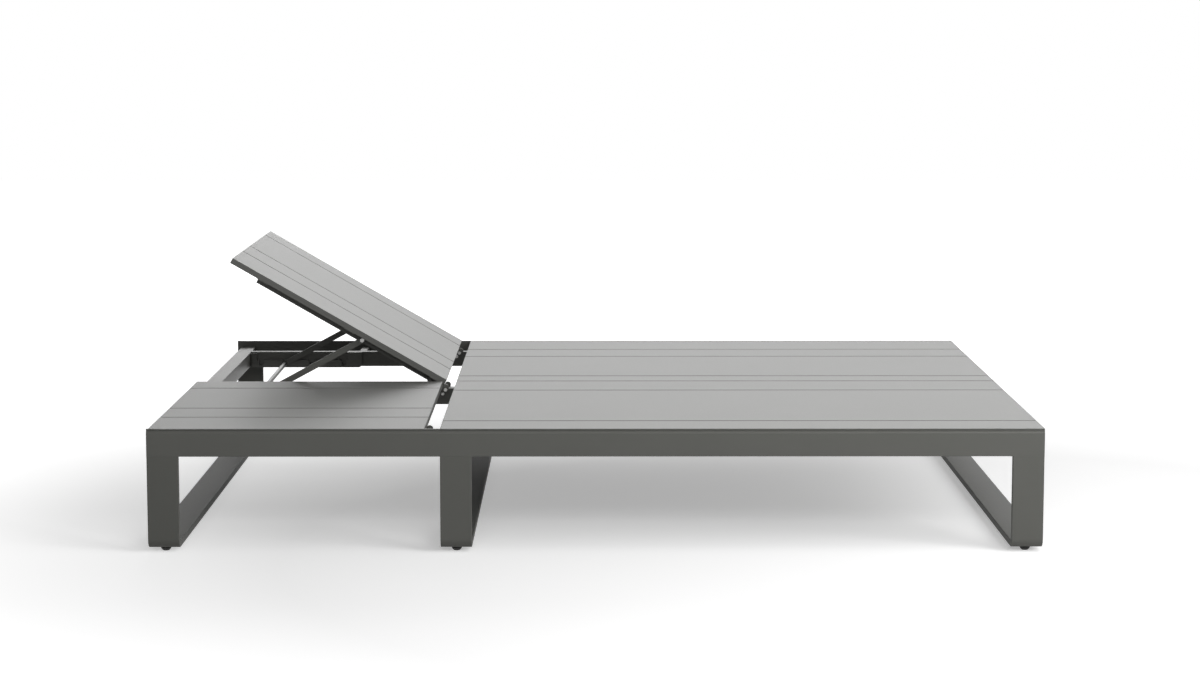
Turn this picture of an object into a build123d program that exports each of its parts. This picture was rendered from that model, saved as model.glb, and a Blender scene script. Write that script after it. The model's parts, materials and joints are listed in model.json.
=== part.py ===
from build123d import *
import math
import os

# A double chaise lounger of powder-coated aluminium, in millimetres.
# +X runs from the head end to the foot end, +Y from the front side to the rear
# side, and +Z up. The origin is on the floor, under the middle of the frame.
# Both backrests hinge beside the middle rail. The front one lies flat and the
# rear one stands on its prop, whose crossbar lies in a pair of notched racks.

# Overall sizes
overall_length = 2000
overall_width = 1600
deck_height = 280

# The line between the two backrests lies a little in front of the middle
split_y = -24

# Side rails: a slim hollow profile that hides the board edges, with a set-back
# top edge, a shadow groove under it and a sloping shoulder
rail_height = 62
rail_depth = 8
rail_wall = 2
lip_setback = 1.5
lip_chamfer = 1
groove_top = 2.2
groove_low = 4.6
groove_depth = 2
shoulder_top = 7.5
shoulder_low = 10
rail_cap_thickness = 2

# Square tubes of the inner frame, and the narrower outer beams of the head bay
tube_size = 40
tube_wall = 3
tube_chamfer = 1.5
outer_beam_width = 25
bay_drop = 16
end_rail_inset = 11
bearer_count = 2

# Head bay between the beams, the same on both sides of the split line
front_stub_length = 42
stub_width = 20
stub_reach = 257.5

# Legs: flat bar bent into a loop under the rails
leg_width = 70
leg_thickness = 15
leg_bend = 20
leg_inner_bend = 6
leg_edge = 0.8

# Glides under the legs
glide_height = 10
glide_radius = 11.5
glide_flat_radius = 6.5
glide_straight = 5
glide_inset = 35

# Boards: hollow extruded planks with closed ends
board_thickness = 14
board_skin = 2
board_web = 2
board_chamfer = 0.3
board_gap = 6
board_cap = 2
cell_pitch = 85
side_gap = 1

# Lines between boards, as shares of the width from the front lip to the split
# line or from the split line to the rear lip
deck_front_shares = (0, 0.147, 0.792, 1)
deck_rear_shares = (0, 0.113, 0.587, 0.770, 1)
front_backrest_shares = (0, 0.221, 0.405, 0.843, 1)
rear_backrest_shares = (0, 0.243, 0.428, 0.848, 1)

# Backrests
backrest_length = 614
backrest_end_setback = 4
hinge_gap = 35
hinge_reach = 8.5
hinge_drop = 4
strap_thickness = 1.5
strap_width = 30
stile_width = 20
stile_height = 14
board_overhang = 78.5
batten_start = 20
front_rest_angle = 0
rear_rest_angle = 30

# Hinges
plate_thickness = 4
ear_thickness = 4
ear_gap = 0.5
ear_radius = 7.5
ear_rise = 6.5
ear_tail = 30
ear_neck = 14
ear_neck_drop = 4
bolt_radius = 3
hinge_bolt_flats = 8
prop_bolt_flats = 10
bolt_head_height = 4
running_gap = 0.05
head_gap = 0.3
plate_foot_reaches = (7.5, 25)
plate_foot_drops = (10.5, 20)
plate_round = 8
plate_relief = 0.5

# Props and racks. The share is of the way from the hinge to the crossbar of a
# flat backrest, and places the prop's bolts
pivot_share = 0.4425
arm_thickness = 8
arm_width = 15
arm_rack_gap = 2
arm_stile_gap = 0.5
crossbar_radius = 6
crossbar_gap = 0.7
rack_thickness = 10
notch_drop = 46.5
notch_gap = 0.5
notch_flare = 3
tooth_drop = 37
rack_bottom_drop = 58
rack_end_gap = 1.5
rack_stop_drop = 20
rack_stop_width = 16
rack_foot_width = 40
rack_foot_gap = 10
rack_chamfer = 6
notch_angles = (0, 30, 45, 60)

# Places worked out from the sizes above
head_x = -overall_length / 2
foot_x = overall_length / 2
front_y = -overall_width / 2
rear_y = overall_width / 2
rail_bottom = deck_height - rail_height
board_bottom = deck_height - board_thickness
beam_top = deck_height - bay_drop
backrest_start = head_x + backrest_end_setback
hinge_gap_start = backrest_start + backrest_length
deck_start = hinge_gap_start + hinge_gap
middle_leg_x = deck_start + leg_width / 2
middle_rail_start = middle_leg_x - tube_size / 2
foot_rail_start = foot_x - end_rail_inset - tube_size
head_rail_end = head_x + end_rail_inset + tube_size
bay_near = tube_size / 2
bay_far = split_y - (front_y + rail_depth) - front_stub_length - outer_beam_width
hinge_x = hinge_gap_start + hinge_reach
hinge_z = board_bottom - hinge_drop
hinge_axis = Axis((hinge_x, 0, hinge_z), (0, 1, 0))
stile_end = backrest_length + hinge_reach - board_overhang
ear_inset = plate_thickness + ear_gap
ear_face = ear_inset + ear_thickness
arm_inset = rack_thickness + arm_rack_gap
stile_inset = arm_inset + arm_thickness + arm_stile_gap
board_span = board_thickness - 2 * board_skin
overrun = 1

# The bolts of the prop run through the middle of the stiles. The crossbar of a
# flat backrest lies next to the stop of the racks
pivot_drop = strap_thickness + stile_height / 2 - hinge_drop
notch_z = deck_height - notch_drop
rack_start = head_rail_end + rack_end_gap
flat_crossbar_x = rack_start + rack_stop_width + 2 * crossbar_radius
flat_span = hinge_x - flat_crossbar_x
pivot_reach = pivot_share * flat_span
prop_length = math.hypot(flat_span - pivot_reach, hinge_z - pivot_drop - notch_z)

pieces = {}


def keep(node, *solids):
    pieces.setdefault(node, []).extend(solids)


def block(x, y, z):
    (x0, x1), (y0, y1), (z0, z1) = sorted(x), sorted(y), sorted(z)
    centre = Pos((x0 + x1) / 2, (y0 + y1) / 2, (z0 + z1) / 2)
    return centre * Box(x1 - x0, y1 - y0, z1 - z0)


def plate(outline, y):
    """A plate with its outline in X and Z, from one Y to another."""
    low, high = sorted(y)
    return extrude(Plane.XZ.offset(-low) * outline, amount=-(high - low))


def rod(x, y, z, radius):
    """A round bar along Y."""
    low, high = sorted(y)
    return Pos(x, (low + high) / 2, z) * Rot(X=90) * Cylinder(radius, high - low)


def tube(x, y, z, along):
    """A rectangular tube that fills a box, open at its ends."""
    (x0, x1), (y0, y1), (z0, z1) = sorted(x), sorted(y), sorted(z)
    height = z1 - z0
    middle_z = (z0 + z1) / 2
    if along == "X":
        width, start = y1 - y0, Plane.YZ.offset(x0)
        middle, reach = (y0 + y1) / 2, x1 - x0
    else:
        width, start = x1 - x0, Plane.XZ.offset(-y1)
        middle, reach = (x0 + x1) / 2, y1 - y0
    section = chamfer(Rectangle(width, height).vertices(), tube_chamfer)
    section -= Rectangle(width - 2 * tube_wall, height - 2 * tube_wall)
    return extrude(start * Pos(middle, middle_z) * section, amount=reach)


def bay_y(side, wall, inset):
    """Y at an inset from the near or far wall of one side's head bay."""
    distance = bay_near + inset if wall == "inner" else bay_far - inset
    return split_y + side * distance


def bay_pair(side, wall, low, high):
    return bay_y(side, wall, low), bay_y(side, wall, high)


def pivot_at(angle):
    """Where the prop's bolts are when the backrest is raised by an angle."""
    turn = math.radians(angle)
    x = hinge_x - pivot_reach * math.cos(turn) - pivot_drop * math.sin(turn)
    z = hinge_z + pivot_reach * math.sin(turn) - pivot_drop * math.cos(turn)
    return x, z


def crossbar_x(angle):
    """Where the crossbar lies in the racks for an angle of the backrest."""
    x, z = pivot_at(angle)
    return x - math.sqrt(prop_length ** 2 - (z - notch_z) ** 2)


def rail_outline():
    """The side rail's section: Y inward from its outer face, Z from the deck."""
    return Polygon(
        (lip_setback, -lip_chamfer),
        (lip_setback, -groove_top),
        (lip_setback + groove_depth, -groove_top),
        (lip_setback + groove_depth, -groove_low),
        (lip_setback, -groove_low),
        (lip_setback, -shoulder_top),
        (0, -shoulder_low),
        (0, -rail_height),
        (rail_depth, -rail_height),
        (rail_depth, 0),
        (lip_setback + lip_chamfer, 0),
        align=None,
    )


def rail(length, start, hollow):
    """One stretch of the front side rail, from a starting X."""
    section = rail_outline()
    if hollow:
        cavity_width = rail_depth - 2 * rail_wall
        cavity_height = rail_height - shoulder_low - 2 * rail_wall
        cavity_z = -(rail_height + shoulder_low) / 2
        section -= Pos(rail_depth / 2, cavity_z) * Rectangle(cavity_width, cavity_height)
    return extrude(Plane.YZ.offset(start) * Pos(front_y, deck_height) * section, amount=length)


def build_side_rails():
    length = overall_length - 2 * rail_cap_thickness
    front = rail(length, head_x + rail_cap_thickness, True)
    caps = [rail(rail_cap_thickness, x, False) for x in (head_x, foot_x - rail_cap_thickness)]
    keep("front_rail", front)
    keep("rear_rail", mirror(front, Plane.XZ))
    keep("rail_end_caps", *caps, *[mirror(cap, Plane.XZ) for cap in caps])


def build_inner_frame():
    inner_y = (front_y + rail_depth, rear_y - rail_depth)
    seat_z = (board_bottom - tube_size, board_bottom)
    bay_z = (beam_top - tube_size, beam_top)
    bearer_pitch = (foot_rail_start - middle_rail_start) / (bearer_count + 1)
    cross_rails = {"middle_rail": middle_rail_start, "foot_rail": foot_rail_start}
    for number in range(1, bearer_count + 1):
        cross_rails[f"deck_bearer_{number}"] = middle_rail_start + number * bearer_pitch
    for name, start in cross_rails.items():
        keep(name, tube((start, start + tube_size), inner_y, seat_z, "Y"))
    keep("head_rail", tube((head_rail_end - tube_size, head_rail_end), inner_y, bay_z, "Y"))
    beam_x = (head_rail_end, middle_rail_start)
    keep("centre_beam", tube(beam_x, (split_y - bay_near, split_y + bay_near), bay_z, "X"))
    stub_x = (hinge_x - stub_reach - stub_width, hinge_x - stub_reach)
    for side, name, rail_y in ((-1, "front", inner_y[0]), (1, "rear", inner_y[1])):
        outer_y = bay_y(side, "outer", -outer_beam_width)
        keep(f"{name}_beam", tube(beam_x, (bay_y(side, "outer", 0), outer_y), bay_z, "X"))
        keep(f"{name}_stub", tube(stub_x, (outer_y, rail_y), bay_z, "Y"))


def leg_centres():
    return {
        "head": head_x + leg_width / 2,
        "middle": middle_leg_x,
        "foot": foot_x - leg_width / 2,
    }


def build_legs():
    height = rail_bottom - glide_height
    middle_z = glide_height + height / 2
    outer = Pos(0, middle_z) * Rectangle(overall_width, height)
    outer = fillet(outer.vertices().sort_by(Axis.Y)[:2], leg_bend)
    inner_height = height - leg_thickness
    inner = Rectangle(overall_width - 2 * leg_thickness, inner_height + overrun)
    inner = Pos(0, middle_z + (leg_thickness + overrun) / 2) * inner
    inner = fillet(inner.vertices().sort_by(Axis.Y)[:2], leg_inner_bend)
    loop = outer - inner
    glide_y = overall_width / 2 - glide_inset
    for name, x in leg_centres().items():
        leg = extrude(Plane.YZ.offset(x - leg_width / 2) * loop, amount=leg_width)
        sides = leg.faces().filter_by(Axis.X).edges()
        leg = chamfer([edge for edge in sides if edge.center().Z < rail_bottom - leg_edge], leg_edge)
        keep(f"{name}_leg", leg)
        keep("glides", *[Pos(x, y, 0) * glide() for y in (-glide_y, glide_y)])


def glide():
    """A round foot that tapers towards the floor."""
    half = Polygon(
        (0, 0),
        (glide_flat_radius, 0),
        (glide_radius, glide_straight),
        (glide_radius, glide_height),
        (0, glide_height),
        align=None,
    )
    return revolve(Plane.XZ * half, Axis.Z)


def board(x, y, z_low):
    """A hollow plank along X, and the two caps that close it."""
    (x0, x1), (y0, y1) = x, sorted(y)
    width = y1 - y0
    place = Pos((y0 + y1) / 2, z_low + board_thickness / 2)
    outline = chamfer(Rectangle(width, board_thickness).vertices(), board_chamfer)
    count = max(1, round(width / cell_pitch))
    pitch = (width - board_web) / count
    section = outline
    for index in range(count):
        cell_y = (index - (count - 1) / 2) * pitch
        section -= Pos(cell_y, 0) * Rectangle(pitch - board_web, board_span)
    length = x1 - x0 - 2 * board_cap
    plank = extrude(Plane.YZ.offset(x0 + board_cap) * place * section, amount=length)
    caps = [extrude(Plane.YZ.offset(start) * place * outline, amount=board_cap)
            for start in (x0, x1 - board_cap)]
    return plank, caps


def board_edges(y_start, y_end, shares):
    """Pairs of Y for a row of boards with gaps between them."""
    lines = [y_start + share * (y_end - y_start) for share in shares]
    rows = []
    for low, high in zip(lines[:-1], lines[1:]):
        start = low if low == y_start else low + board_gap / 2
        end = high if high == y_end else high - board_gap / 2
        rows.append((start, end))
    return rows


def build_deck():
    front_edge = front_y + rail_depth + side_gap
    rear_edge = rear_y - rail_depth - side_gap
    rows = board_edges(front_edge, split_y - board_gap / 2, deck_front_shares)
    rows += board_edges(split_y + board_gap / 2, rear_edge, deck_rear_shares)
    for number, row in enumerate(rows, 1):
        plank, caps = board((deck_start, foot_x), row, board_bottom)
        keep(f"deck_board_{number}", plank)
        keep("deck_board_caps", *caps)


def rack_outline():
    """A bar with a stop at its head end, a notch for each position, and a foot."""
    stop_end = rack_start + rack_stop_width
    foot_start = crossbar_x(notch_angles[-1]) + rack_foot_gap
    foot_end = foot_start + rack_foot_width
    bottom = deck_height - rack_bottom_drop
    tooth = deck_height - tooth_drop
    stop_top = deck_height - rack_stop_drop
    outline = Polygon(
        (rack_start, bottom),
        (foot_end - rack_chamfer, bottom),
        (foot_end, bottom + rack_chamfer),
        (foot_end, beam_top),
        (foot_start, beam_top),
        (foot_start, tooth),
        (stop_end, tooth),
        (stop_end, stop_top),
        (rack_start, stop_top),
        align=None,
    )
    radius = crossbar_radius + notch_gap
    for angle in notch_angles:
        x = crossbar_x(angle)
        mouth = tooth + overrun
        slot = Pos(x, (notch_z + mouth) / 2) * Rectangle(2 * radius, mouth - notch_z)
        flare = Polygon(
            (x - radius - notch_flare, tooth),
            (x + radius + notch_flare, tooth),
            (x, tooth - radius - notch_flare),
            align=None,
        )
        outline -= Pos(x, notch_z) * Circle(radius) + slot + flare
    return outline


def build_racks():
    outline = rack_outline()
    for side, name in ((-1, "front"), (1, "rear")):
        racks = [plate(outline, bay_pair(side, wall, 0, rack_thickness)) for wall in ("inner", "outer")]
        keep(f"{name}_racks", *racks)


def hinge_plate_outline():
    """A fixed plate: an eye at the hinge axis on a foot that stays under the boards."""
    foot_places = zip(plate_foot_reaches, plate_foot_drops)
    with BuildSketch() as outline:
        with Locations((hinge_x, hinge_z)):
            Circle(ear_radius)
        with Locations(*[(hinge_x - reach, hinge_z - drop) for reach, drop in foot_places]):
            Circle(plate_round)
        make_hull()
        with Locations((hinge_x, board_bottom - plate_relief)):
            above = 2 * (plate_foot_reaches[-1] + plate_round)
            Rectangle(above, above, align=(Align.CENTER, Align.MIN), mode=Mode.SUBTRACT)
        with Locations((hinge_x, hinge_z)):
            Circle(ear_radius)
            Circle(bolt_radius + running_gap, mode=Mode.SUBTRACT)
    return outline.sketch


def ear_outline():
    """A moving ear: an upright eye at the hinge axis with a tail under the boards."""
    top = board_bottom - strap_thickness
    bottom = top - stile_height
    tail = hinge_x - batten_start - ear_tail
    neck_z = hinge_z - ear_neck_drop
    with BuildSketch() as outline:
        with Locations((hinge_x, hinge_z), (hinge_x, hinge_z + ear_rise)):
            Circle(ear_radius)
        make_hull()
        with BuildLine():
            Polyline(
                (hinge_x, neck_z),
                (hinge_x - ear_neck, neck_z),
                (hinge_x - batten_start, bottom),
                (tail, bottom),
                (tail, top),
                (hinge_x, top),
                close=True,
            )
        make_face()
        with Locations((hinge_x, hinge_z)):
            Circle(bolt_radius + running_gap, mode=Mode.SUBTRACT)
    return outline.sketch


def bolt(side, wall, shank, head_inset, x, z, flats):
    """A hexagon bolt along Y: its shank between two insets, its head in the bay."""
    head = Pos(x, z) * RegularPolygon(flats / math.sqrt(3), 6)
    stem = rod(x, bay_pair(side, wall, *shank), z, bolt_radius)
    return stem + plate(head, bay_pair(side, wall, *head_inset))


def build_hinges():
    """The fixed plates and the bolts on which the backrests turn."""
    outline = hinge_plate_outline()
    for side in (-1, 1):
        for wall in ("inner", "outer"):
            keep("hinge_plates", plate(outline, bay_pair(side, wall, 0, plate_thickness)))
            head = (ear_face + head_gap, ear_face + head_gap + bolt_head_height)
            turn = bolt(side, wall, (0, head[0]), head, hinge_x, hinge_z, hinge_bolt_flats)
            keep("hinge_bolts", turn)


def build_backrest(name, side, shares, angle):
    """One backrest, modelled lying flat and then turned about its hinge."""
    solids = {}
    inner_edge = split_y + side * board_gap
    outer_edge = front_y if side < 0 else rear_y
    outer_edge -= side * (rail_depth + side_gap)
    for number, row in enumerate(board_edges(*sorted((inner_edge, outer_edge)), shares), 1):
        plank, caps = board((backrest_start, hinge_gap_start), row, board_bottom)
        solids[f"board_{number}"] = [plank]
        solids.setdefault("board_caps", []).extend(caps)

    def across(reach, width, y, top, height):
        x = hinge_x - reach
        return block((x - width, x), y, (top - height, top))

    strap_y = (inner_edge, outer_edge)
    last_strap = stile_end - strap_width
    solids["straps"] = [across(reach, strap_width, strap_y, board_bottom, strap_thickness)
                        for reach in (batten_start, (batten_start + last_strap) / 2, last_strap)]
    frame_top = board_bottom - strap_thickness
    batten_y = (bay_y(side, "inner", ear_face), bay_y(side, "outer", ear_face))
    solids["hinge_batten"] = [across(batten_start, stile_width, batten_y, frame_top, stile_height)]
    rail_y = (bay_y(side, "inner", stile_inset + stile_width),
              bay_y(side, "outer", stile_inset + stile_width))
    head_reach = stile_end - stile_width
    solids["head_batten"] = [across(head_reach, stile_width, rail_y, frame_top, stile_height)]
    pivot_x, pivot_z = pivot_at(0)
    stile_start = batten_start + stile_width
    ears = ear_outline()
    for wall in ("inner", "outer"):
        y = bay_pair(side, wall, stile_inset, stile_inset + stile_width)
        stile = across(stile_start, stile_end - stile_start, y, frame_top, stile_height)
        bore_y = bay_pair(side, wall, stile_inset - overrun, stile_inset + stile_width + overrun)
        stile -= rod(pivot_x, bore_y, pivot_z, bolt_radius + running_gap)
        solids[f"{wall}_stile"] = [stile]
        ear = plate(ears, bay_pair(side, wall, ear_inset, ear_face))
        solids.setdefault("ears", []).append(ear)
        head = (arm_inset - head_gap - bolt_head_height, arm_inset - head_gap)
        shank = (head[1], stile_inset + stile_width)
        pin = bolt(side, wall, shank, head, pivot_x, pivot_z, prop_bolt_flats)
        solids.setdefault("prop_bolts", []).append(pin)
    for part_name, group in solids.items():
        keep(f"{name}_{part_name}", *[solid.rotate(hinge_axis, angle) for solid in group])


def build_prop(name, side, angle):
    """Two flat arms and the crossbar that lies in the racks."""
    top_x, top_z = pivot_at(angle)
    low_x = crossbar_x(angle)
    with BuildSketch() as outline:
        with Locations((top_x, top_z), (low_x, notch_z)):
            Circle(arm_width / 2)
        make_hull()
        with Locations((top_x, top_z)):
            Circle(bolt_radius + running_gap, mode=Mode.SUBTRACT)
        with Locations((low_x, notch_z)):
            Circle(crossbar_radius, mode=Mode.SUBTRACT)
    for wall in ("inner", "outer"):
        y = bay_pair(side, wall, arm_inset, arm_inset + arm_thickness)
        keep(f"{name}_{wall}_arm", plate(outline.sketch, y))
    end = rack_thickness + crossbar_gap
    bar_y = (bay_y(side, "inner", end), bay_y(side, "outer", end))
    keep(f"{name}_crossbar", rod(low_x, bar_y, notch_z, crossbar_radius))


build_side_rails()
build_inner_frame()
build_legs()
build_deck()
build_racks()
build_hinges()
build_backrest("front_backrest", -1, front_backrest_shares, front_rest_angle)
build_backrest("rear_backrest", 1, rear_backrest_shares, rear_rest_angle)
build_prop("front_prop", -1, front_rest_angle)
build_prop("rear_prop", 1, rear_rest_angle)

os.makedirs("parts", exist_ok=True)
for node, solids in pieces.items():
    shape = solids[0] if len(solids) == 1 else Compound(children=solids)
    export_step(shape, f"parts/{node}.step")
print(len(pieces), "nodes")
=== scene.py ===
import json
import math

import bmesh
import bpy
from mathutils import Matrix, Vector


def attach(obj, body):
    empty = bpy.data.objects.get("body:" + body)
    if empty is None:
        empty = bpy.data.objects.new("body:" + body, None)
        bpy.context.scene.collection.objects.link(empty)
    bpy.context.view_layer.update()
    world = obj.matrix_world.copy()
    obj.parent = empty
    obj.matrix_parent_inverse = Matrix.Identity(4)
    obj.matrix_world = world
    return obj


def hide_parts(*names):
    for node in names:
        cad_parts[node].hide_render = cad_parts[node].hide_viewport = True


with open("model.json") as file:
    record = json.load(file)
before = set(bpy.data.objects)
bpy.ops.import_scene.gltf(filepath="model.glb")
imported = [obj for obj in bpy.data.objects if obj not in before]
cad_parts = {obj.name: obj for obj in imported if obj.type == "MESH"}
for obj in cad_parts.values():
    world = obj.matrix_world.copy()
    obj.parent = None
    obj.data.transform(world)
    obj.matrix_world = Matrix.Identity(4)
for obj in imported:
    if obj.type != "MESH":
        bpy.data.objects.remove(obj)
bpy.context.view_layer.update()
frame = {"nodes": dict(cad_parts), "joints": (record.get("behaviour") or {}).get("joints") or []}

# Sizes are in metres and angles in radians, unless a name says otherwise.

# Camera, worked out from the photograph's perspective
IMAGE_WIDTH_PX = 1200
FOCAL_PX = 2724.1
SENSOR_WIDTH_MM = 36
CAMERA_PLACE = (-0.0108, -6.7867, 1.2200)
CAMERA_PITCH = 0.12217
CAMERA_YAW = 0.00340

# Lamps as (place, aim, size, watts), and the strength of the light from all around
LAMPS = {
    "front": ((0.5, -4.4, 1.95), (-0.1, 0.0, 0.1), (3.4, 0.7), 56),
    "top": ((1.8, -1.6, 2.2), (1.2, -0.6, 0.0), (1.8, 1.8), 26),
    "back": ((1.8, 5.0, 2.2), (0.4, 0.0, 0.2), (9.0, 1.8), 158),
    "side": ((3.6, -3.3, 1.8), (0.9, -0.8, 0.2), (2.4, 1.8), 106),
}
ROOM_STRENGTH = 0.10
WHITE = (1.0, 1.0, 1.0, 1.0)

# Floor: its glow for the camera is painted light. It rises over GLOW_RANGE between the two
# distances GLOW_REACH from GLOW_CENTRE, so that it is white away from the lounger, and its
# low part near the lounger paints a soft shade around it.
FLOOR_REACH = 12.0
FLOOR_COLOUR = (0.80, 0.80, 0.80)
GLOW_CENTRE = (0.7, -0.8, 0.0)
GLOW_REACH = (1.4, 3.1)
GLOW_RANGE = (0.39, 1.0)

# Base colours, linear. The boards and the frame have one powder coat, and BOARD_COLOUR is
# the lighter of the two as painted light, for the boards' lit tops.
BOARD_COLOUR = (0.085, 0.0856, 0.079)
FRAME_COLOUR = (0.0745, 0.0753, 0.0680)
CROSSBAR_COLOUR = (0.085, 0.085, 0.082)
STEEL_COLOUR = (0.46, 0.46, 0.45)
GLIDE_COLOUR = (0.012, 0.012, 0.012)

# Gloss. The glides' roughness is a range, which their stipple runs over.
BOARD_IOR = 1.5
FRAME_IOR = 1.4
BOARD_ROUGHNESS = 0.50
FRAME_ROUGHNESS = 0.46
LEG_ROUGHNESS = 0.65
CROSSBAR_ROUGHNESS = 0.45
STEEL_ROUGHNESS = 0.32
GLIDE_ROUGHNESS = (0.50, 0.65)

# Noises as (cells per metre, detail, roughness), and the span that most of their
# values lie in
COAT_MOTTLE_NOISE = (5.0, 3.0, 0.5)
COAT_GRAIN_NOISE = (700.0, 2.0, 0.6)
COAT_GRIT_NOISE = (1800.0, 1.0, 0.5)
METAL_MOTTLE_NOISE = (60.0, 2.0, 0.5)
METAL_LINES_NOISE = (1.0, 3.0, 0.5)
PLASTIC_MOTTLE_NOISE = (90.0, 2.0, 0.5)
PLASTIC_STIPPLE_NOISE = (1200.0, 2.0, 0.5)
PAPER_NOISE = (3.0, 4.0, 0.5)
NOISE_SPAN = (0.3, 0.7)

# Drawn lines: factors on the coordinates that METAL_LINES_NOISE runs on, least along
# the lines
CROSSBAR_STRETCH = (60.0, 8.0, 60.0)
STEEL_STRETCH = (500.0, 80.0, 500.0)

# What the noises do: factors on the base colour, and a spread either side of the
# roughness
COAT_MOTTLE = (0.97, 1.03)
COAT_GRIT = (0.96, 1.04)
COAT_SPREAD = 0.04
METAL_MOTTLE = (0.90, 1.08)
METAL_SPREAD = 0.06
PLASTIC_MOTTLE = (0.85, 1.20)
PAPER_MOTTLE = (0.995, 1.005)

# Bumps as (strength, height)
COAT_BUMP = (0.10, 0.0004)
METAL_BUMP = (0.08, 0.0002)
PLASTIC_BUMP = (0.25, 0.0003)

# Edges: the radius that the shading rounds them to, and the factor on the colour there,
# which above 1 is a painted highlight. EDGE_COSINES is how far the rounding turns the
# surface, off and on an edge.
BOARD_EDGE = (0.0004, 1.0)
# The frame's and legs' edges are painted lighter: a painted highlight.
FRAME_EDGE = (0.0010, 1.1)
METAL_EDGE_RADIUS = 0.0006
EDGE_COSINES = (0.99, 0.75)
EDGE_SAMPLES = 6

# Button-head screws: (radius, height above the seat) from the seat to the top
SCREW_HEAD = (
    (0.0047, 0.0),
    (0.0048, 0.0004),
    (0.0046, 0.0012),
    (0.0040, 0.0020),
    (0.0032, 0.0025),
    (0.0027, 0.0026),
)
SOCKET_FLATS = 0.0030
SOCKET_DEPTH = 0.0016
SCREW_SIDES = 36

# Places of the screws on each hinge plate, (along, up) from the hinge axis
PLATE_SCREWS = ((-0.0075, -0.0105), (-0.025, -0.020))

# Hinge plates further than this from the middle of a bay belong to the other bay
PLATE_REACH = 0.35

# Glides: (radius, height) from the recess in the sole up to the leg
GLIDE_PROFILE = (
    (0.0045, 0.0012),
    (0.0050, 0.0002),
    (0.0064, 0.0),
    (0.0075, 0.0006),
    (0.0104, 0.0038),
    (0.0113, 0.0052),
    (0.0115, 0.0062),
    (0.0115, 0.0070),
    (0.0110, 0.0076),
    (0.0092, 0.0079),
    (0.0088, 0.0083),
    (0.0088, 0.0100),
)
GLIDE_SIDES = 64

# Points of a CAD mesh closer than this are one
MERGE_DISTANCE = 1e-6


def new_material(name):
    """A material, its empty node tree and the object's coordinates in it."""
    material = bpy.data.materials.new(name)
    material.use_nodes = True
    tree = material.node_tree
    tree.nodes.clear()
    return material, tree, tree.nodes.new("ShaderNodeTexCoord").outputs["Object"]


def noise(tree, place, scale, detail, roughness):
    node = tree.nodes.new("ShaderNodeTexNoise")
    node.inputs["Scale"].default_value = scale
    node.inputs["Detail"].default_value = detail
    node.inputs["Roughness"].default_value = roughness
    tree.links.new(place, node.inputs["Vector"])
    return node.outputs["Fac"]


def remap(tree, value, old, new):
    node = tree.nodes.new("ShaderNodeMapRange")
    for end, old_number, new_number in zip(("Min", "Max"), old, new):
        node.inputs[f"From {end}"].default_value = old_number
        node.inputs[f"To {end}"].default_value = new_number
    tree.links.new(value, node.inputs["Value"])
    return node.outputs["Result"]


def spread(tree, value, middle, reach):
    """Numbers either side of a middle one, as a noise varies."""
    return remap(tree, value, NOISE_SPAN, (middle - reach, middle + reach))


def combine(tree, operation, first, second):
    node = tree.nodes.new("ShaderNodeMath")
    node.operation = operation
    tree.links.new(first, node.inputs[0])
    tree.links.new(second, node.inputs[1])
    return node.outputs[0]


def tinted(tree, colour, factor):
    """A colour that a value near 1 makes a little lighter or darker."""
    node = tree.nodes.new("ShaderNodeVectorMath")
    node.operation = "SCALE"
    node.inputs[0].default_value = colour
    tree.links.new(factor, node.inputs["Scale"])
    return node.outputs["Vector"]


def rounded(tree, radius):
    """The surface's normal, with edges rounded to a small radius."""
    node = tree.nodes.new("ShaderNodeBevel")
    node.samples = EDGE_SAMPLES
    node.inputs["Radius"].default_value = radius
    return node.outputs["Normal"]


def edge_mask(tree, normal):
    """How far a rounded normal is turned: 0 on flats, near 1 on edges."""
    geometry = tree.nodes.new("ShaderNodeNewGeometry")
    dot = tree.nodes.new("ShaderNodeVectorMath")
    dot.operation = "DOT_PRODUCT"
    tree.links.new(normal, dot.inputs[0])
    tree.links.new(geometry.outputs["Normal"], dot.inputs[1])
    return remap(tree, dot.outputs["Value"], EDGE_COSINES, (0.0, 1.0))


def bumped(tree, value, strength, height, normal=None):
    """A normal that a noise makes uneven."""
    node = tree.nodes.new("ShaderNodeBump")
    node.inputs["Strength"].default_value = strength
    node.inputs["Distance"].default_value = height
    tree.links.new(value, node.inputs["Height"])
    if normal is not None:
        tree.links.new(normal, node.inputs["Normal"])
    return node.outputs["Normal"]


def show(tree, surface):
    output = tree.nodes.new("ShaderNodeOutputMaterial")
    tree.links.new(surface, output.inputs["Surface"])


def principled(tree, colour, roughness, normal, **plain):
    """The material's shader. Plain numbers are set on its own sockets."""
    shader = tree.nodes.new("ShaderNodeBsdfPrincipled")
    for socket, number in plain.items():
        shader.inputs[socket].default_value = number
    tree.links.new(colour, shader.inputs["Base Color"])
    tree.links.new(roughness, shader.inputs["Roughness"])
    tree.links.new(normal, shader.inputs["Normal"])
    show(tree, shader.outputs["BSDF"])


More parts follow.
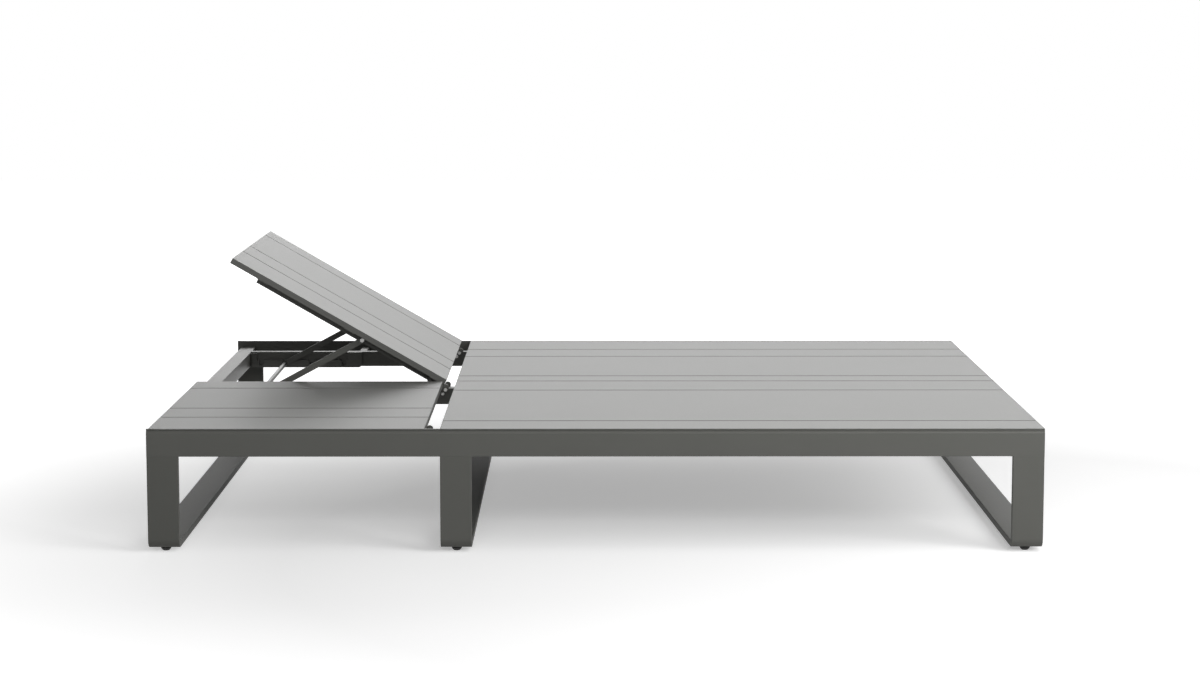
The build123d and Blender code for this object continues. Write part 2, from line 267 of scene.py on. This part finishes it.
def coat(name, colour, roughness, ior, edge_radius, edge_highlight_tone):
    """Satin powder coat: fine grain in the bump, faint mottling, softened edges, and edges lightened
    by a factor as a painted highlight.
    """
    material, tree, place = new_material(name)
    mottle = remap(tree, noise(tree, place, *COAT_MOTTLE_NOISE), NOISE_SPAN, COAT_MOTTLE)
    grit = remap(tree, noise(tree, place, *COAT_GRIT_NOISE), NOISE_SPAN, COAT_GRIT)
    grain = noise(tree, place, *COAT_GRAIN_NOISE)
    normal = rounded(tree, edge_radius)
    # Edges lighter by a factor: a painted highlight.
    painted_edge_highlight = remap(tree, edge_mask(tree, normal), (0.0, 1.0), (1.0, edge_highlight_tone))
    tone = combine(tree, "MULTIPLY", combine(tree, "MULTIPLY", mottle, grit), painted_edge_highlight)
    principled(
        tree,
        tinted(tree, colour, tone),
        spread(tree, grain, roughness, COAT_SPREAD),
        bumped(tree, grain, *COAT_BUMP, normal),
        IOR=ior,
    )
    return material


def metal(name, colour, roughness, stretch):
    """Bare metal with fine drawn lines."""
    material, tree, place = new_material(name)
    mapping = tree.nodes.new("ShaderNodeMapping")
    mapping.inputs["Scale"].default_value = stretch
    tree.links.new(place, mapping.inputs["Vector"])
    lines = noise(tree, mapping.outputs["Vector"], *METAL_LINES_NOISE)
    tone = remap(tree, noise(tree, place, *METAL_MOTTLE_NOISE), NOISE_SPAN, METAL_MOTTLE)
    principled(
        tree,
        tinted(tree, colour, tone),
        spread(tree, lines, roughness, METAL_SPREAD),
        bumped(tree, lines, *METAL_BUMP, rounded(tree, METAL_EDGE_RADIUS)),
        Metallic=1.0,
    )
    return material


def moulded(name, colour, roughness):
    """Matt moulded plastic with a fine stipple."""
    material, tree, place = new_material(name)
    stipple = noise(tree, place, *PLASTIC_STIPPLE_NOISE)
    tone = remap(tree, noise(tree, place, *PLASTIC_MOTTLE_NOISE), NOISE_SPAN, PLASTIC_MOTTLE)
    principled(
        tree,
        tinted(tree, colour, tone),
        remap(tree, stipple, NOISE_SPAN, roughness),
        bumped(tree, stipple, *PLASTIC_BUMP),
    )
    return material


MATERIALS = {
    # board_coat and frame_coat are one powder coat in two colours; the boards' lighter one is
    # painted light for their lit tops.
    "board": coat("board_coat", BOARD_COLOUR, BOARD_ROUGHNESS, BOARD_IOR, *BOARD_EDGE),
    "frame": coat("frame_coat", FRAME_COLOUR, FRAME_ROUGHNESS, FRAME_IOR, *FRAME_EDGE),
    "leg": coat("leg_coat", FRAME_COLOUR, LEG_ROUGHNESS, FRAME_IOR, *FRAME_EDGE),
    "crossbar": metal("crossbar_metal", CROSSBAR_COLOUR, CROSSBAR_ROUGHNESS, CROSSBAR_STRETCH),
    "steel": metal("fastener_steel", STEEL_COLOUR, STEEL_ROUGHNESS, STEEL_STRETCH),
    "glide": moulded("glide_plastic", GLIDE_COLOUR, GLIDE_ROUGHNESS),
}


def kind_of(node):
    if node == "glides":
        return "glide"
    if "crossbar" in node:
        return "crossbar"
    if "bolts" in node:
        return "steel"
    if node.endswith("leg"):
        return "leg"
    return "board" if "board" in node else "frame"


def dress_nodes():
    for name, node in frame["nodes"].items():
        node.data.materials.clear()
        node.data.materials.append(MATERIALS[kind_of(name)])


def mesh_object(name, bm, material, smooth=True):
    mesh = bpy.data.meshes.new(name)
    bmesh.ops.recalc_face_normals(bm, faces=bm.faces)
    bm.to_mesh(mesh)
    bm.free()
    for polygon in mesh.polygons:
        polygon.use_smooth = smooth
    mesh.materials.append(material)
    piece = bpy.data.objects.new(name, mesh)
    bpy.context.scene.collection.objects.link(piece)
    return piece


def ring(bm, points):
    return [bm.verts.new(point) for point in points]


def join_rings(bm, low, high):
    for index, vertex in enumerate(low):
        after = (index + 1) % len(low)
        bm.faces.new((vertex, low[after], high[after], high[index]))


def close_rings(bm, rings):
    """A closed form through rings of points, with a face over the first and the last."""
    for low, high in zip(rings[:-1], rings[1:]):
        join_rings(bm, low, high)
    bm.faces.new(reversed(rings[0]))
    bm.faces.new(rings[-1])


def circle(radius, height, sides):
    turns = [2 * math.pi * index / sides for index in range(sides)]
    return [Vector((radius * math.cos(turn), radius * math.sin(turn), height)) for turn in turns]


def hexagon(flats, height, sides):
    """A hexagon with as many points as a circle, so that the two join with quads."""
    points = []
    for corner in circle(1.0, height, sides):
        turn = math.atan2(corner.y, corner.x) % (math.pi / 3)
        reach = flats / 2 / math.cos(turn - math.pi / 6)
        points.append(Vector((corner.x * reach, corner.y * reach, height)))
    return points


def add_screw(bm, seat, direction):
    """A button head with a hexagon socket, on a face that looks along Y."""
    top = SCREW_HEAD[-1][1]
    outlines = [circle(radius, height, SCREW_SIDES) for radius, height in SCREW_HEAD]
    outlines.append(hexagon(SOCKET_FLATS, top, SCREW_SIDES))
    outlines.append(hexagon(SOCKET_FLATS, top - SOCKET_DEPTH, SCREW_SIDES))
    turn = Vector((0.0, 0.0, 1.0)).rotation_difference(Vector((0.0, direction, 0.0)))
    close_rings(bm, [ring(bm, [turn @ point + seat for point in outline]) for outline in outlines])


def islands(node):
    """The lowest and highest corners of each separate solid of a node."""
    bm = bmesh.new()
    bm.from_mesh(node.data)
    bmesh.ops.remove_doubles(bm, verts=bm.verts, dist=MERGE_DISTANCE)
    left = set(bm.verts)
    boxes = []
    while left:
        front = [left.pop()]
        found = list(front)
        while front:
            near = {edge.other_vert(vertex) for vertex in front for edge in vertex.link_edges} & left
            left -= near
            front = list(near)
            found += front
        columns = list(zip(*[vertex.co for vertex in found]))
        low = Vector([min(column) for column in columns])
        high = Vector([max(column) for column in columns])
        boxes.append((low, high))
    bm.free()
    return sorted(boxes, key=lambda box: box[0].y)


def open_face(low, high, middle):
    """The face of a plate that looks towards the middle of its bay: its Y and direction."""
    return (high.y, 1.0) if low.y < middle else (low.y, -1.0)


def add_screws():
    """The screws of the hinge plates, on the faces that look into the bays."""
    hinges = {joint["name"]: Vector(joint["pos_m"]) for joint in frame["joints"]}
    plates = islands(frame["nodes"]["hinge_plates"])
    for side in ("front", "rear"):
        hinge = hinges[f"{side}_backrest_hinge"]
        bm = bmesh.new()
        for low, high in plates:
            middle = (low + high) / 2
            if abs(middle.y - hinge.y) < PLATE_REACH:
                face, direction = open_face(low, high, hinge.y)
                for along, up in PLATE_SCREWS:
                    add_screw(bm, Vector((hinge.x + along, face, hinge.z + up)), direction)
        screws = mesh_object(f"{side}_plate_screws", bm, MATERIALS["steel"], smooth=False)
        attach(screws, "frame")


def add_glides():
    """Moulded glides with a recessed sole and a neck, in place of the plain ones."""
    outlines = [circle(radius, height, GLIDE_SIDES) for radius, height in GLIDE_PROFILE]
    bm = bmesh.new()
    for low, high in islands(frame["nodes"]["glides"]):
        centre = (low + high) / 2
        centre.z = 0.0
        close_rings(bm, [ring(bm, [point + centre for point in outline]) for outline in outlines])
    glides = mesh_object("moulded_glides", bm, MATERIALS["glide"])
    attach(glides, "frame")
    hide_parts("glides")


def area_light(name, place, aim, size, watts):
    data = bpy.data.lights.new(name, "AREA")
    data.shape = "RECTANGLE"
    data.size, data.size_y = size
    data.energy = watts
    lamp = bpy.data.objects.new(name, data)
    lamp.location = place
    lamp.rotation_euler = (Vector(aim) - Vector(place)).to_track_quat("-Z", "Y").to_euler()
    bpy.context.scene.collection.objects.link(lamp)


def seen_white(tree):
    """1 for what the camera, a reflection or a view through glass sees, otherwise 0."""
    path = tree.nodes.new("ShaderNodeLightPath")
    value = path.outputs["Is Camera Ray"]
    for kind in ("Is Glossy Ray", "Is Transmission Ray"):
        value = combine(tree, "MAXIMUM", value, path.outputs[kind])
    return value


def light_room():
    """A soft studio with four large lamps, white to the camera and in reflections."""
    world = bpy.data.worlds.new("room")
    bpy.context.scene.world = world
    world.use_nodes = True
    tree = world.node_tree
    tree.nodes.clear()
    background = tree.nodes.new("ShaderNodeBackground")
    background.inputs["Color"].default_value = WHITE
    strength = remap(tree, seen_white(tree), (0.0, 1.0), (ROOM_STRENGTH, 1.0))
    tree.links.new(strength, background.inputs["Strength"])
    output = tree.nodes.new("ShaderNodeOutputWorld")
    tree.links.new(background.outputs["Background"], output.inputs["Surface"])
    for name, lamp in LAMPS.items():
        area_light(name, *lamp)


def paper_shader(tree, place):
    """Pale paper that keeps a shadow."""
    shader = tree.nodes.new("ShaderNodeBsdfDiffuse")
    tone = remap(tree, noise(tree, place, *PAPER_NOISE), NOISE_SPAN, PAPER_MOTTLE)
    tree.links.new(tinted(tree, FLOOR_COLOUR, tone), shader.inputs["Color"])
    return shader.outputs["BSDF"]


def glow_shader(tree, place):
    """A glow that only the camera and reflections see, brighter away from the lounger: painted
    light, lower near the lounger as a painted shade around it.
    """
    away = tree.nodes.new("ShaderNodeVectorMath")
    away.operation = "DISTANCE"
    away.inputs[1].default_value = GLOW_CENTRE
    tree.links.new(place, away.inputs[0])
    rise = remap(tree, away.outputs["Value"], GLOW_REACH, GLOW_RANGE)
    shader = tree.nodes.new("ShaderNodeEmission")
    tree.links.new(combine(tree, "MULTIPLY", rise, seen_white(tree)), shader.inputs["Strength"])
    return shader.outputs["Emission"]


def lay_floor():
    """A floor that turns white away from the lounger and is clear from below."""
    material, tree, place = new_material("floor_paper")
    both = tree.nodes.new("ShaderNodeAddShader")
    tree.links.new(paper_shader(tree, place), both.inputs[0])
    tree.links.new(glow_shader(tree, place), both.inputs[1])
    clear_below = tree.nodes.new("ShaderNodeMixShader")
    underside = tree.nodes.new("ShaderNodeNewGeometry").outputs["Backfacing"]
    clear = tree.nodes.new("ShaderNodeBsdfTransparent").outputs["BSDF"]
    tree.links.new(underside, clear_below.inputs["Fac"])
    tree.links.new(both.outputs["Shader"], clear_below.inputs[1])
    tree.links.new(clear, clear_below.inputs[2])
    show(tree, clear_below.outputs["Shader"])

    bm = bmesh.new()
    corners = ((-1, -1, 0), (1, -1, 0), (1, 1, 0), (-1, 1, 0))
    bm.faces.new(ring(bm, [Vector(corner) * FLOOR_REACH for corner in corners]))
    mesh_object("floor", bm, material, smooth=False)


def set_camera():
    data = bpy.data.cameras.new("camera")
    data.sensor_width = SENSOR_WIDTH_MM
    data.lens = FOCAL_PX / IMAGE_WIDTH_PX * SENSOR_WIDTH_MM
    camera = bpy.data.objects.new("camera", data)
    camera.location = CAMERA_PLACE
    camera.rotation_euler = (math.pi / 2 - CAMERA_PITCH, 0.0, -CAMERA_YAW)
    bpy.context.scene.collection.objects.link(camera)
    bpy.context.scene.camera = camera


dress_nodes()
add_screws()
add_glides()
lay_floor()
light_room()
set_camera()
bpy.context.scene.view_settings.view_transform = "Standard"
